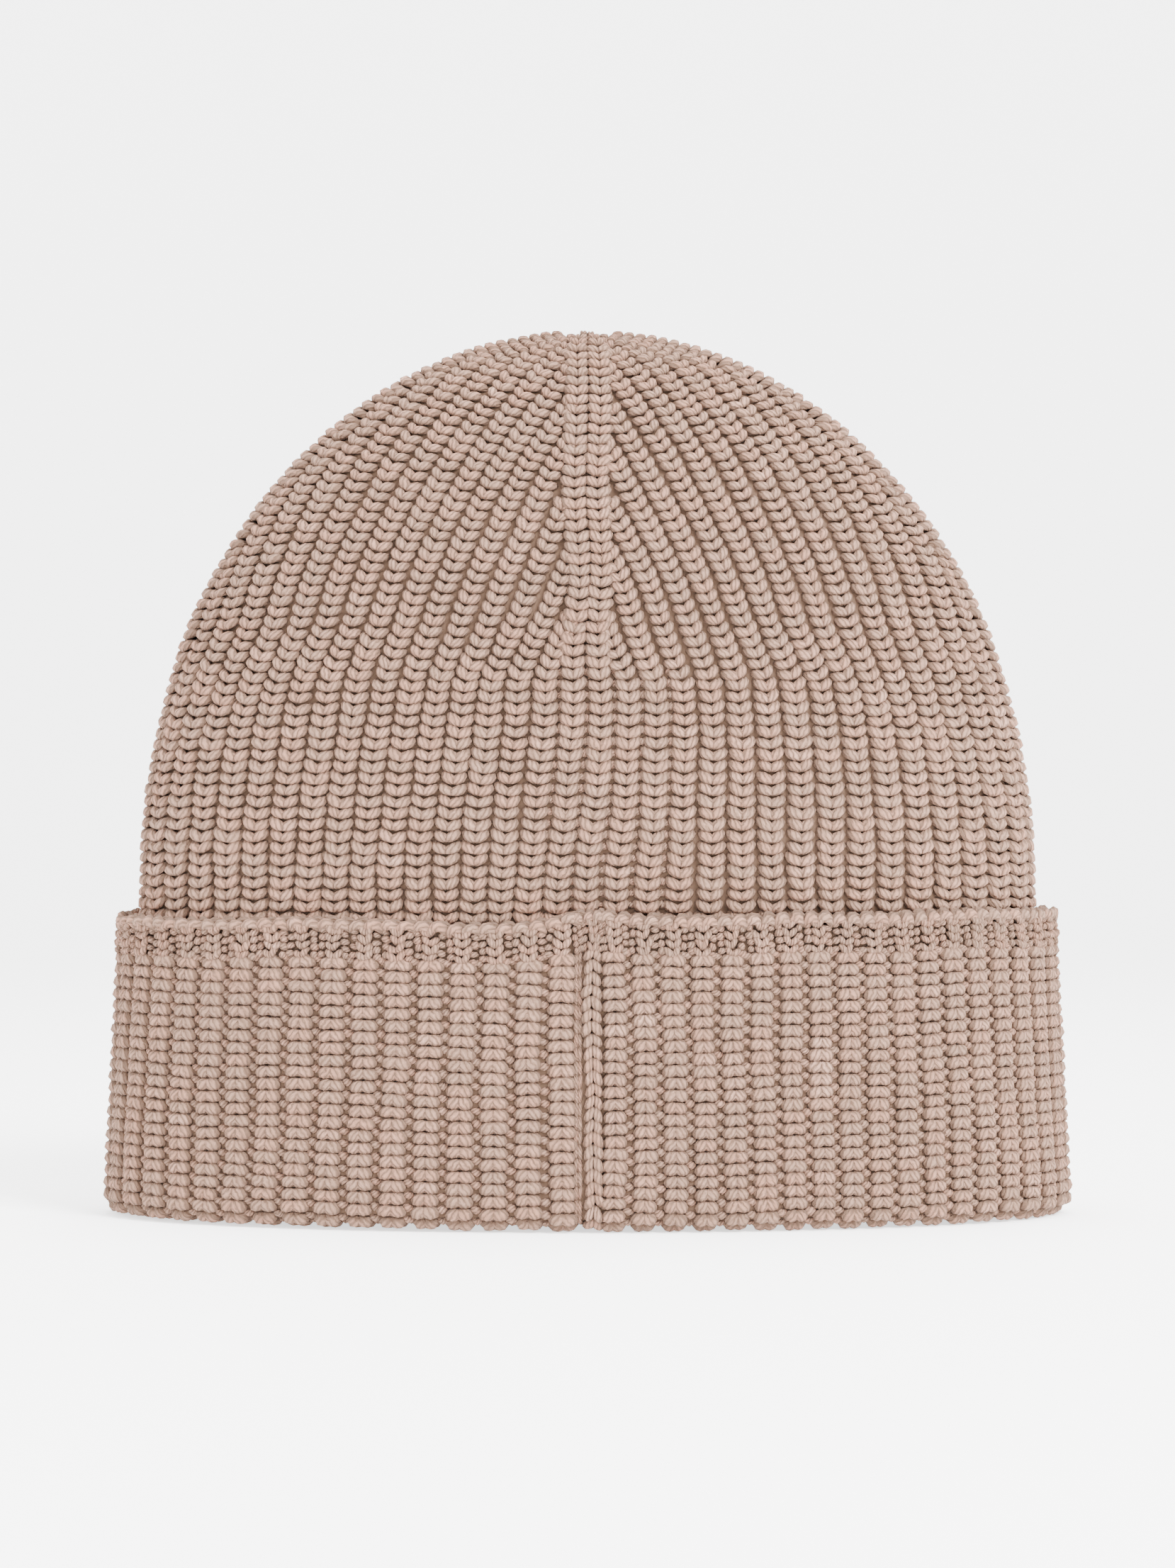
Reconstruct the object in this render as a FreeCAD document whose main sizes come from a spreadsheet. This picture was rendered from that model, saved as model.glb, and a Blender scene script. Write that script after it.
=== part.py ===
"""Cuffed rib-knit beanie: a knitted tube with a turned-up cuff and a four-gore crown, standing on its fold.

Millimetres. +Z is up, the centre-back seam faces -Y, and the origin is under the middle of the hat on the
plane that it stands on. Every level of the hat is an oval, wide along X and shallow along Y. The knitting is
cut along its seams, folds and decrease lines, so each zone is a node of its own.
"""

import FreeCAD, Part
import Sketcher
import os

SIZES = {
    "cuff_foot_width": (220, "outside width over the fold at the foot"),
    "cuff_foot_depth": (96, "outside depth over the fold at the foot"),
    "cuff_top_width": (213, "outside width at the cuff's upper edge"),
    "cuff_top_depth": (91, "outside depth at the cuff's upper edge"),
    "cuff_height": (68, "height of the turned-up cuff"),
    "welt_height": (7, "height of the cast-on welt along the cuff's upper edge"),
    "fold_height": (6, "height of the rounded fold at the foot"),
    "fold_round": (4, "how far the fold curls in from each side"),
    "hat_height": (200, "height over the gathered crown"),
    "straight_rise": (7, "how far the sides run straight above the cuff"),
    "crown_drop": (72, "how far the first decreases lie below the top"),
    "spine_width": (14, "width of the two ribs between neighbouring gores"),
    "fabric_wall": (4.5, "thickness of the rib knit"),
    "layer_gap": (0.4, "air between the cuff and the layer behind it"),
    "closure_radius": (6, "radius of the gathered closing at the top"),
    "closure_rise": (1, "how far the gathering stands above the crown"),
    "seam_width": (6, "width of the seam allowance on the inside"),
    "seam_depth": (2, "thickness of the seam allowance"),
    "seam_short": (14, "how far below the top the back seam ends"),
    "column_width": (7, "width of the seam column on the cuff"),
    "label_width": (22, "width of the care label"),
    "label_length": (31, "free length of the care label"),
    "label_rise": (29, "how far the label's sewn edge lies above the cuff's edge"),
    "tab_height": (5, "height of the label's sewn end"),
    "label_thickness": (0.6, "thickness of the label ribbon"),
    "label_gap": (0.3, "air round the hanging part of the label"),
    "stitch_length": (2.4, "length of one label stitch"),
    "stitch_pitch": (4, "spacing of the label stitches"),
    "stitch_thickness": (0.5, "thickness of the stitching thread"),
}
STITCH_COUNT = 5

doc = FreeCAD.newDocument("KnitBeanie")
sheet = doc.addObject("Spreadsheet::Sheet", "Sizes")
for row, (alias, (value, meaning)) in enumerate(SIZES.items(), start=1):
    sheet.set(f"A{row}", meaning)
    sheet.set(f"B{row}", str(value))
    sheet.setAlias(f"B{row}", alias)
doc.recompute()

LAYER = "(Sizes.fabric_wall + Sizes.layer_gap)"
BODY_WIDTH = f"(Sizes.cuff_top_width - 2 * {LAYER})"
BODY_DEPTH = f"(Sizes.cuff_top_depth - 2 * {LAYER})"
DOME_BASE = "(Sizes.cuff_height + Sizes.straight_rise)"
DOME_HEIGHT = f"(Sizes.hat_height - Sizes.closure_rise - {DOME_BASE})"
CROWN_START = "(Sizes.hat_height - Sizes.crown_drop)"
LABEL_TOP = "(Sizes.cuff_height + Sizes.label_rise)"
WELT_BASE = "(Sizes.cuff_height - Sizes.welt_height)"
FLARE_SHARE = "(Sizes.cuff_height - {z}) / Sizes.cuff_height"


def bind(thing, **expressions):
    """Ties properties to the sheet; x, y and z stand for the place."""
    for name, expression in expressions.items():
        path = f"Placement.Base.{name}" if name in ("x", "y", "z") else name
        thing.setExpression(path, expression)
    return thing


def add(kind, name, **expressions):
    return bind(doc.addObject(kind, name), **expressions)


def flat_oval(name, width, depth, z):
    return add("Part::Ellipse", name, MajorRadius=f"({width}) / 2", MinorRadius=f"({depth}) / 2", z=z)


def lofted(name, ovals):
    """A closed solid through level ovals, straight from each to the next."""
    solid = doc.addObject("Part::Loft", name)
    solid.Sections = ovals
    solid.Solid = True
    solid.Ruled = True
    return solid


def boolean(kind, name, base, tool):
    result = doc.addObject(f"Part::{kind}", name)
    result.Base = base
    result.Tool = tool
    return result


def cuff_oval(name, z, inset):
    """The cuff's outside outline at level z, drawn in by inset on every side."""
    share = FLARE_SHARE.format(z=z)
    width, depth = (
        f"Sizes.cuff_top_{side} + (Sizes.cuff_foot_{side} - Sizes.cuff_top_{side}) * {share} - 2 * ({inset})"
        for side in ("width", "depth")
    )
    return flat_oval(name, width, depth, z)


def cuff_tube(name, low, high, outside, inside):
    """A flared tube between two levels of the cuff, from one inset to a deeper one."""
    walls = [
        lofted(f"{name}_{side}", [cuff_oval(f"{name}_{side}_{end}", z, inset) for end, z in levels])
        for side, inset in (("outer", outside), ("inner", inside))
        for levels in [(("low", low), ("high", high))]
    ]
    return boolean("Cut", name, *walls)


def body_form(name, inset):
    """The solid filling of the hat above the cuff: a straight oval foot under a half ellipsoid."""
    width, depth = (f"{size} - 2 * ({inset})" for size in (BODY_WIDTH, BODY_DEPTH))
    outline = flat_oval(f"{name}_outline", width, depth, "Sizes.cuff_height")
    foot = doc.addObject("Part::Extrusion", f"{name}_foot")
    foot.Base = outline
    foot.DirMode = "Custom"
    foot.Dir = FreeCAD.Vector(0, 0, 1)
    foot.Solid = True
    bind(foot, LengthFwd="Sizes.straight_rise")
    dome = add(
        "Part::Ellipsoid", f"{name}_dome",
        Radius1=f"{DOME_HEIGHT} - ({inset})", Radius2=f"({width}) / 2", Radius3=f"({depth}) / 2",
        z=DOME_BASE,
    )
    dome.Angle1 = 0
    return boolean("Fuse", name, foot, dome)


def block(name, x, y, z):
    """A box from three (low, high) pairs of expressions."""
    (west, east), (south, north), (low, high) = x, y, z
    return add(
        "Part::Box", name, x=west, y=south, z=low,
        Length=f"({east}) - ({west})", Width=f"({north}) - ({south})", Height=f"({high}) - ({low})",
    )


nodes = {}


def node(name, solid):
    """Names a finished piece."""
    solid.Label = name
    nodes[name] = solid
    return solid


# Limits that lie well outside the hat, used to cut it into zones.
FAR_X, FAR_Y, FAR_Z = "Sizes.cuff_foot_width", "Sizes.cuff_foot_depth", "Sizes.hat_height * 2"
HALF_SPINE = "Sizes.spine_width / 2"
HALF_COLUMN = "Sizes.column_width / 2"
HALF_SEAM = "Sizes.seam_width / 2"


def cuff():
    """Two layers of tube joined by the fold: the outer layer ends at the welt, the inner runs on up."""
    outer = cuff_tube("cuff_layer", "Sizes.fold_height", WELT_BASE, "0", "Sizes.fabric_wall")
    column = block(
        "cuff_column_block", (f"-{HALF_COLUMN}", HALF_COLUMN), (f"-{FAR_Y}", "0"), ("0", FAR_Z)
    )
    node("cuff_outer_band", boolean("Cut", "outer_band", outer, column))
    node("cuff_seam", boolean("Common", "seam_column", outer, column))
    node(
        "cuff_start_welt",
        cuff_tube("start_welt", WELT_BASE, "Sizes.cuff_height", "0", "Sizes.fabric_wall"),
    )
    inner_face = f"{LAYER} + Sizes.fabric_wall"
    node(
        "cuff_inner_band",
        cuff_tube("inner_band", "Sizes.fold_height", "Sizes.cuff_height", LAYER, inner_face),
    )
    ridge = cuff_tube(
        "inner_ridge", "Sizes.fold_height", "Sizes.cuff_height", inner_face, f"{inner_face} + Sizes.seam_depth"
    )
    strip = block("inner_strip", (f"-{HALF_SEAM}", HALF_SEAM), (f"-{FAR_Y}", "0"), ("0", FAR_Z))
    node("cuff_inner_seam", boolean("Common", "inner_seam", ridge, strip))


def cuff_fold():
    """The rounded foot: full thickness at its top, curling in on both sides to a narrow flat sole."""
    levels = (("sole", "0", 1), ("curl", "Sizes.fold_round * 0.3", 0.3), ("top", "Sizes.fold_height", 0))
    thickness = f"{LAYER} + Sizes.fabric_wall"
    outside = [
        cuff_oval(f"fold_outer_{name}", z, f"{share} * Sizes.fold_round") for name, z, share in levels
    ]
    inside = [
        cuff_oval(f"fold_inner_{name}", z, f"{thickness} - {share} * Sizes.fold_round")
        for name, z, share in levels
    ]
    node("cuff_fold", boolean("Cut", "fold", lofted("fold_outside", outside), lofted("fold_inside", inside)))


def body_and_crown():
    """The tube above the cuff, closing in four gores with a spine of ribs between each pair."""
    shell = boolean(
        "Cut", "body_shell", body_form("body_outside", "0"), body_form("body_inside", "Sizes.fabric_wall")
    )
    hole = add(
        "Part::Cylinder", "closure_hole", Radius="Sizes.closure_radius",
        Height="Sizes.closure_radius * 4", z="Sizes.hat_height - Sizes.closure_radius * 2",
    )
    open_shell = boolean("Cut", "open_shell", shell, hole)
    body_levels = ("Sizes.cuff_height", CROWN_START)
    everywhere = ((f"-{FAR_X}", FAR_X), (f"-{FAR_Y}", FAR_Y))
    node("rib_body", boolean("Common", "body_zone", open_shell, block("body_block", *everywhere, body_levels)))

    crown_levels = (CROWN_START, FAR_Z)
    sides = {"left": (f"-{FAR_X}", f"-{HALF_SPINE}"), "right": (HALF_SPINE, FAR_X)}
    faces = {"back": (f"-{FAR_Y}", f"-{HALF_SPINE}"), "front": (HALF_SPINE, FAR_Y)}
    for face, y in faces.items():
        for side, x in sides.items():
            zone = block(f"gore_block_{face}_{side}", x, y, crown_levels)
            gore = boolean("Common", f"gore_{face}_{side}", open_shell, zone)
            node(f"crown_gore_{face}_{side}", gore)
    middle = (f"-{HALF_SPINE}", HALF_SPINE)
    spines = {
        "left": (sides["left"], middle), "right": (sides["right"], middle),
        "back": (middle, (f"-{FAR_Y}", "0")), "front": (middle, ("0", FAR_Y)),
    }
    for side, (x, y) in spines.items():
        zone = block(f"spine_block_{side}", x, y, crown_levels)
        node(f"crown_spine_{side}", boolean("Common", f"spine_{side}", open_shell, zone))


def crown_closure():
    """The last loops drawn together on one yarn: a plug in the crown's middle under a low bead."""
    plug = add(
        "Part::Cylinder", "closure_plug", Radius="Sizes.closure_radius", Height="Sizes.fabric_wall",
        z="Sizes.hat_height - Sizes.closure_rise - 1.5 * Sizes.fabric_wall",
    )
    bead = add(
        "Part::Ellipsoid", "closure_bead", Radius1="Sizes.closure_rise + Sizes.fabric_wall / 2",
        Radius2="Sizes.closure_radius", Radius3="Sizes.closure_radius",
        z="Sizes.hat_height - Sizes.closure_rise - Sizes.fabric_wall / 2",
    )
    bead.Angle1 = 0
    node("crown_closure", boolean("Fuse", "closure", plug, bead))


def back_seam():
    """The seam allowance: a ridge down the inside of the centre back."""
    inset = "Sizes.fabric_wall"
    ridge = boolean(
        "Cut", "seam_ridge", body_form("seam_outside", inset),
        body_form("seam_inside", f"{inset} + Sizes.seam_depth"),
    )
    strip = block(
        "seam_strip", (f"-{HALF_SEAM}", HALF_SEAM), (f"-{FAR_Y}", "0"), ("Sizes.cuff_height", "Sizes.hat_height - Sizes.seam_short")
    )
    node("back_seam", boolean("Common", "seam", ridge, strip))


SEAM_INSET = "(Sizes.fabric_wall + Sizes.seam_depth)"
TAB_TOP = f"({LABEL_TOP} + Sizes.tab_height)"
# The seam ridge leans in with height, so the label's plane is set by the ridge at the tab's upper edge.
LABEL_BACK = (
    f"(Sizes.label_gap - ({BODY_DEPTH} / 2 - {SEAM_INSET})"
    f" * sqrt(1 - (({TAB_TOP} - {DOME_BASE}) / ({DOME_HEIGHT} - {SEAM_INSET})) ^ 2))"
)
LABEL_FRONT = f"({LABEL_BACK} + Sizes.label_thickness)"


def ribbon(name, low, high):
    """A flat length of label ribbon: a rectangle drawn in the label's plane and padded to its thickness."""
    body = doc.addObject("PartDesign::Body", name)
    plane = next(f for f in body.Origin.OriginFeatures if f.Role == "XZ_Plane")
    sketch = body.newObject("Sketcher::SketchObject", f"{name}_outline")
    sketch.AttachmentSupport = [(plane, "")]
    sketch.MapMode = "FlatFace"
    corners = [FreeCAD.Vector(x, y, 0) for x, y in ((-1, 0), (1, 0), (1, 2), (-1, 2))]
    for start, end in zip(corners, corners[1:] + corners[:1]):
        sketch.addGeometry(Part.LineSegment(start, end))
    for line in range(4):
        sketch.addConstraint(Sketcher.Constraint("Coincident", line, 2, (line + 1) % 4, 1))
    for line, direction in ((1, "Vertical"), (2, "Horizontal"), (3, "Vertical")):
        sketch.addConstraint(Sketcher.Constraint(direction, line))
    sketch.addConstraint(Sketcher.Constraint("Symmetric", 0, 1, 0, 2, -2))
    sizes = (
        ("width", "DistanceX", (0, 1, 0, 2), "Sizes.label_width"),
        ("height", "DistanceY", (1, 1, 1, 2), f"({high}) - ({low})"),
        ("base", "DistanceY", (-1, 1, 0, 1), low),
    )
    for label, kind, ends, expression in sizes:
        index = sketch.addConstraint(Sketcher.Constraint(kind, *ends, 1))
        sketch.renameConstraint(index, label)
        sketch.setExpression(f"Constraints.{label}", expression)
    pad = body.newObject("PartDesign::Pad", f"{name}_pad")
    pad.Profile = sketch
    pad.Reversed = True  # the sheet plane's normal points to -Y and the ribbon grows to +Y
    pad.setExpression("Length", "Sizes.label_thickness")
    body.Tip = pad
    return bind(body, y=LABEL_BACK)


def care_label():
    """A blank ribbon label on the seam allowance: its sewn end stays put and the rest hangs free."""
    node("care_label_tab", ribbon("label_tab", LABEL_TOP, TAB_TOP))
    flap_top = f"{LABEL_TOP} - Sizes.label_gap"
    node("care_label", ribbon("label_flap", f"{LABEL_TOP} - Sizes.label_length", flap_top))
    half = "Sizes.stitch_thickness / 2"
    middle = f"{LABEL_TOP} + Sizes.tab_height / 2"
    stitches = []
    for index in range(STITCH_COUNT):
        centre = f"{index - (STITCH_COUNT - 1) / 2} * Sizes.stitch_pitch"
        stitches.append(block(
            f"label_stitch_{index + 1}",
            (f"{centre} - Sizes.stitch_length / 2", f"{centre} + Sizes.stitch_length / 2"),
            (LABEL_FRONT, f"{LABEL_FRONT} + Sizes.stitch_thickness"),
            (f"{middle} - {half}", f"{middle} + {half}"),
        ))
    row_of_stitches = doc.addObject("Part::Compound", "label_stitches")
    row_of_stitches.Links = stitches
    node("care_label_stitches", row_of_stitches)


cuff()
cuff_fold()
body_and_crown()
crown_closure()
back_seam()
care_label()
doc.recompute()

for thing in doc.Objects:
    if {"Invalid", "Error"} & set(thing.State):
        raise RuntimeError(f"{thing.Name} did not rebuild: {thing.State}")
for name, solid in nodes.items():
    shape = solid.Shape
    if shape.isNull() or not shape.isValid() or not shape.Solids:
        raise RuntimeError(f"{name} is not a valid solid")

os.makedirs("parts", exist_ok=True)
for name, solid in nodes.items():
    solid.Shape.exportStep(f"parts/{name}.step")
    print(f"{name}: {solid.Shape.Volume / 1000:.2f} cm3, {len(solid.Shape.Solids)} solid(s)")
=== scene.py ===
"""Knitted beanie with a turned-up cuff, standing on its fold with its centre-back seam towards the camera.

Metres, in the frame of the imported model. Every visible rib is built from its own stitches: Geometry Nodes
put one small plied-yarn shape on each stitch's place, and the places follow the ribs over the oval hat.
"""

import math

import bpy
import numpy as np
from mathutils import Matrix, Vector


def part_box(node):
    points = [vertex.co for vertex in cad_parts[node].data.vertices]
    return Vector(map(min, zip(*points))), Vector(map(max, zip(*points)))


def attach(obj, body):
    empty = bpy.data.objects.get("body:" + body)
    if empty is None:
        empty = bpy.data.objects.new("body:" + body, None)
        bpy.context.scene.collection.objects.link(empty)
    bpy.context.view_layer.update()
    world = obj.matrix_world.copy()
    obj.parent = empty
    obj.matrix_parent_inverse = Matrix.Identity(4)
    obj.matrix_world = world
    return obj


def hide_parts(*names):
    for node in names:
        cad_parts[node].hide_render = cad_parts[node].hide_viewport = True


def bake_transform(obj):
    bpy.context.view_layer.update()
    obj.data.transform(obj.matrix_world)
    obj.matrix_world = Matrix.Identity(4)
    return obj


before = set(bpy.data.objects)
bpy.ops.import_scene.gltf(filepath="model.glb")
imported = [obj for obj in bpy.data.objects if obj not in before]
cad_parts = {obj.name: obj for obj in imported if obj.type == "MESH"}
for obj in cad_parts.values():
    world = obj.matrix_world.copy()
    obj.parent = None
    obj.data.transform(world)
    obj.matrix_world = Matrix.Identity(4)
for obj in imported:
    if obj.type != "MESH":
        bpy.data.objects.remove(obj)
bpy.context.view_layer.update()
MM = 0.001

# ---------------------------------------------------------------- sizes of the hat, from the frame
BODY_WIDE, BODY_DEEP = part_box("rib_body")[1][0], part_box("rib_body")[1][1]
CUFF_TOP_WIDE, CUFF_TOP_DEEP = 106.5 * MM, 45.5 * MM
CUFF_FOOT_WIDE, CUFF_FOOT_DEEP = 110 * MM, 48 * MM
CUFF_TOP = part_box("cuff_start_welt")[1][2]
WELT_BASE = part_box("cuff_start_welt")[0][2]
CROWN_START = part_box("rib_body")[1][2]
HAT_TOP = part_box("crown_closure")[1][2]
DOME_BASE = 75 * MM
DOME_TOP = HAT_TOP - 1.0 * MM
DOME_HEIGHT = DOME_TOP - DOME_BASE
FABRIC = 4.5 * MM

# ---------------------------------------------------------------- the knit's gauge
BODY_ROW = 2.55 * MM
CUFF_ROW = 2.66 * MM
BODY_RIBS_A_QUARTER = 17
STITCH_DEPTH = 1.9 * MM  # a stitch's middle lies this far under the hat's outside
INNER_DEPTH = 3.3 * MM
SIDE_STRETCH = 0.07  # the ribs are wider towards the hat's sides
SPINE_PROUD = 0.8 * MM  # the spine ribs stand this far above the ribs that run out beside them
RUN_OUT = 0.6  # a rib ends this many rib widths from the line between two spine ribs


# ---------------------------------------------------------------- ovals
class Oval:
    """Arc length round a quarter of an oval, from the middle of its long side to the end of its long axis."""

    def __init__(self, wide, deep):
        self.wide, self.deep = wide, deep
        self.turn = np.linspace(0, math.pi / 2, 721)
        speed = np.hypot(wide * np.cos(self.turn), deep * np.sin(self.turn))
        self.length = np.concatenate([[0], np.cumsum((speed[1:] + speed[:-1]) / 2 * np.diff(self.turn))])
        self.quarter = self.length[-1]

    def turn_at(self, length):
        return np.interp(length, self.length, self.turn)


BODY_OVAL = Oval(BODY_WIDE, BODY_DEEP)


def unit(v):
    return v / np.maximum(np.linalg.norm(v, axis=-1, keepdims=True), 1e-12)


def share_of_quarter(v):
    """Where a rib boundary at share v of the quarter's ribs lies along the quarter."""
    return (v + SIDE_STRETCH * v**4) / (1 + SIDE_STRETCH)


def share_slope(v):
    return (1 + 4 * SIDE_STRETCH * v**3) / (1 + SIDE_STRETCH)


# ---------------------------------------------------------------- the body and crown
def levels(step):
    """Stations up the hat, from behind the cuff to the gathering: height and the share of the oval left."""
    low = np.arange(CUFF_TOP - 9 * MM, DOME_BASE, step)
    climb = np.linspace(0, math.acos(0.045), int(DOME_HEIGHT * 1.6 / step))
    height = np.concatenate([low, DOME_BASE + DOME_HEIGHT * np.sin(climb)])
    share = np.concatenate([np.ones(len(low)), np.cos(climb)])
    return height, share


# Heights at which one more rib has run out beside the centre spines, and beside the side spines.
CENTRE_ENDS = np.array([128, 143, 156, 169, 179, 188, 194.5]) * MM
SIDE_ENDS = np.array([142, 162, 176, 185, 190, 194.5]) * MM


def run_out(height, ends, ease):
    """Ribs lost so far, as a smooth count that passes each half where a rib ends."""
    at = np.concatenate([[ends[0] - ease], ends, [DOME_TOP]])
    lost = np.concatenate([[0], np.arange(len(ends)) + 0.5, [len(ends) - 0.3]])
    return np.interp(height, at, lost)


def on_body(along, height, share, depth, front):
    """Points depth under the outside at signed arc lengths from centre back or front, and their normals."""
    turn = BODY_OVAL.turn_at(np.minimum(np.abs(along) / share, BODY_OVAL.quarter))
    side = np.where(along < 0, -1.0, 1.0)
    face = 1.0 if front else -1.0
    x = side * BODY_WIDE * share * np.sin(turn)
    y = face * BODY_DEEP * share * np.cos(turn)
    lift = np.maximum(height - DOME_BASE, 0)
    normal = unit(np.stack([x / BODY_WIDE**2, y / BODY_DEEP**2, lift / DOME_HEIGHT**2], -1))
    return np.stack([x, y, height], -1) - depth * normal, normal


def wander(number, height):
    """Hand and steam leave no rib quite straight: how far rib number strays sideways at a height."""
    slow = np.sin(height / (11 * MM) + 0.6 * number)
    quick = 0.6 * np.sin(height / (4.3 * MM) + 0.9 * number)
    return 0.22 * MM * (slow + quick)


def plumpness(number, height):
    """How full rib number is at a height, about 1."""
    return 1 + 0.02 * np.sin(2.3 * number) + 0.02 * np.sin(height / (6 * MM) + 3.1 * number)


def drift(along, height):
    """The centre-back ribs wander a little to the left on their way down to the cuff."""
    down = np.clip((118 * MM - height) / (50 * MM), 0, 1)
    return -3.6 * MM * down**2 * (3 - 2 * down) * np.exp(-((along / (45 * MM)) ** 2))


def body_ribs(depth, step=0.5 * MM):
    """(points, normals, widths, front) of every rib of the body and crown, cut where the rib runs out."""
    height, share = levels(step)
    centre_lost, side_lost = run_out(height, CENTRE_ENDS, 8 * MM), run_out(height, SIDE_ENDS, 10 * MM)
    left = BODY_RIBS_A_QUARTER - centre_lost - side_lost
    ribs = []
    in_crown = np.clip((height - CROWN_START + 15 * MM) / (20 * MM), 0, 1)
    spine_rise, spine_place = SPINE_PROUD * in_crown, 0.5 - 0.09 * in_crown
    spine_sway = 0.7 * MM * in_crown * np.sin(height / (7 * MM)) * share
    fullness = 1.04 - 0.12 * in_crown  # the ribs part a little more where they lean in the crown
    for front in (False, True):
        for side in (-1, 1):
            for index in range(BODY_RIBS_A_QUARTER):
                place = index + 0.5 - centre_lost
                kept = (place > RUN_OUT) & (place < left - RUN_OUT)
                under = np.full_like(height, depth)
                if index in (0, BODY_RIBS_A_QUARTER - 1):
                    place = spine_place if index == 0 else left - spine_place
                    kept = height > 0
                    under = depth - spine_rise
                end = len(kept) if kept.all() else int(np.argmin(kept))
                v = (place / left)[:end]
                along = side * BODY_OVAL.quarter * share[:end] * share_of_quarter(v)
                width = BODY_OVAL.quarter * share[:end] * share_slope(v) / left[:end]
                if not front:
                    along = along + drift(along, height[:end])
                number = index + 20 * (side + 1) + 80 * front
                along = along + wander(number, height[:end]) * share[:end]
                along = along + spine_sway[:end] * np.exp(-((along / (18 * MM)) ** 2))
                width = width * (fullness[:end] if 0 < index < BODY_RIBS_A_QUARTER - 1 else 1.02)
                width = width * plumpness(number, height[:end])
                points, normals = on_body(along, height[:end], share[:end], under[:end, None], front)
                ribs.append((points, normals, width, front))
    return ribs


# ---------------------------------------------------------------- the cuff
def cuff_axes(height):
    """Half width and half depth of the cuff's outside at a height."""
    share = (CUFF_TOP - height) / CUFF_TOP
    wide = CUFF_TOP_WIDE + (CUFF_FOOT_WIDE - CUFF_TOP_WIDE) * share
    deep = CUFF_TOP_DEEP + (CUFF_FOOT_DEEP - CUFF_TOP_DEEP) * share
    return wide, deep


FOLD_MIDDLE = 4.7 * MM  # the fold's axis, this far in from the outside and this high
CUFF_OVAL = Oval(*cuff_axes(CUFF_TOP / 2))


def cuff_section(depth, top, inner_top, step=0.5 * MM):
    """The fabric's path from the cuff's upper edge down, round the fold and up inside.

    Returns the inset from the cuff's outside, the height, and the facing: outwards 1, inwards -1, and its
    downward part."""
    radius = FOLD_MIDDLE - depth
    down = np.arange(top, FOLD_MIDDLE, -step)
    curl = np.linspace(0, math.pi, max(int(math.pi * radius / step), 8))
    up = np.arange(FOLD_MIDDLE, inner_top, step)
    inset = np.concatenate([
        np.full(len(down), depth),
        FOLD_MIDDLE - radius * np.cos(curl),
        np.full(len(up), 2 * FOLD_MIDDLE - depth),
    ])
    height = np.concatenate([down, FOLD_MIDDLE - radius * np.sin(curl), up])
    outward = np.concatenate([np.ones(len(down)), np.cos(curl), -np.ones(len(up))])
    downward = np.concatenate([np.zeros(len(down)), np.sin(curl), np.zeros(len(up))])
    return inset, height, outward, downward


def on_cuff(along, front, section):
    """Points and normals down the cuff at a signed arc length from the middle of its back or front."""
    inset, height, outward, downward = section
    along = np.broadcast_to(along, height.shape)
    side = np.where(along < 0, -1.0, 1.0)
    face = 1.0 if front else -1.0
    turn = CUFF_OVAL.turn_at(np.minimum(np.abs(along), CUFF_OVAL.quarter))
    wide, deep = cuff_axes(np.maximum(height, 0))
    flat = unit(np.stack([side * np.sin(turn) / CUFF_OVAL.wide, face * np.cos(turn) / CUFF_OVAL.deep], -1))
    x = side * wide * np.sin(turn) - inset * flat[:, 0]
    y = face * deep * np.cos(turn) - inset * flat[:, 1]
    normal = np.stack([flat[:, 0] * outward, flat[:, 1] * outward, -downward], -1)
    return np.stack([x, y, height], -1), unit(normal)


def cuff_edge(along, front):
    """How far the cuff's upper edge is over its mean line: it climbs to the right and peaks at the seam."""
    turn = float(CUFF_OVAL.turn_at(min(abs(along), CUFF_OVAL.quarter)))
    x = math.copysign(CUFF_OVAL.wide * math.sin(turn), along)
    if front:
        return 0.4 * MM * math.sin(x / (17 * MM))
    peak = 1.4 * math.exp(-((x / (7 * MM)) ** 2))
    dip = 1.5 * math.exp(-(((x + 25 * MM) / (14 * MM)) ** 2))
    return (peak - dip + 1.1 * x / CUFF_TOP_WIDE + 0.25 * math.sin(x / (6 * MM))) * MM


SEAM_COLUMN = (1.2 * MM, 4.6 * MM)  # middle and width of the narrow seam column


def cuff_columns():
    """(signed arc length from the middle, width, front, is the seam column) for every rib of the cuff."""
    quarter = CUFF_OVAL.quarter
    middle, width = SEAM_COLUMN
    columns = [(middle, width, False, True)]
    spans = (
        (middle - width / 2 - 0.85 * MM, -quarter, 17, False),
        (middle + width / 2 - 0.95 * MM, quarter, 19, False),
        (0, -quarter, 18, True),
        (0, quarter, 18, True),
    )
    for start, end, count, front in spans:
        pitch = (end - start) / count
        for index in range(count):
            columns.append((start + pitch * (index + 0.5), abs(pitch), front, False))
    return columns


# ---------------------------------------------------------------- stitch shapes
# Corners of a yarn's section in degrees, 90 facing out of the fabric: most are on the side that shows.
SECTIONS = {4: (-30, 55, 125, 210), 5: (-15, 52, 128, 195, 270), 6: (-15, 38, 90, 142, 195, 270)}


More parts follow.
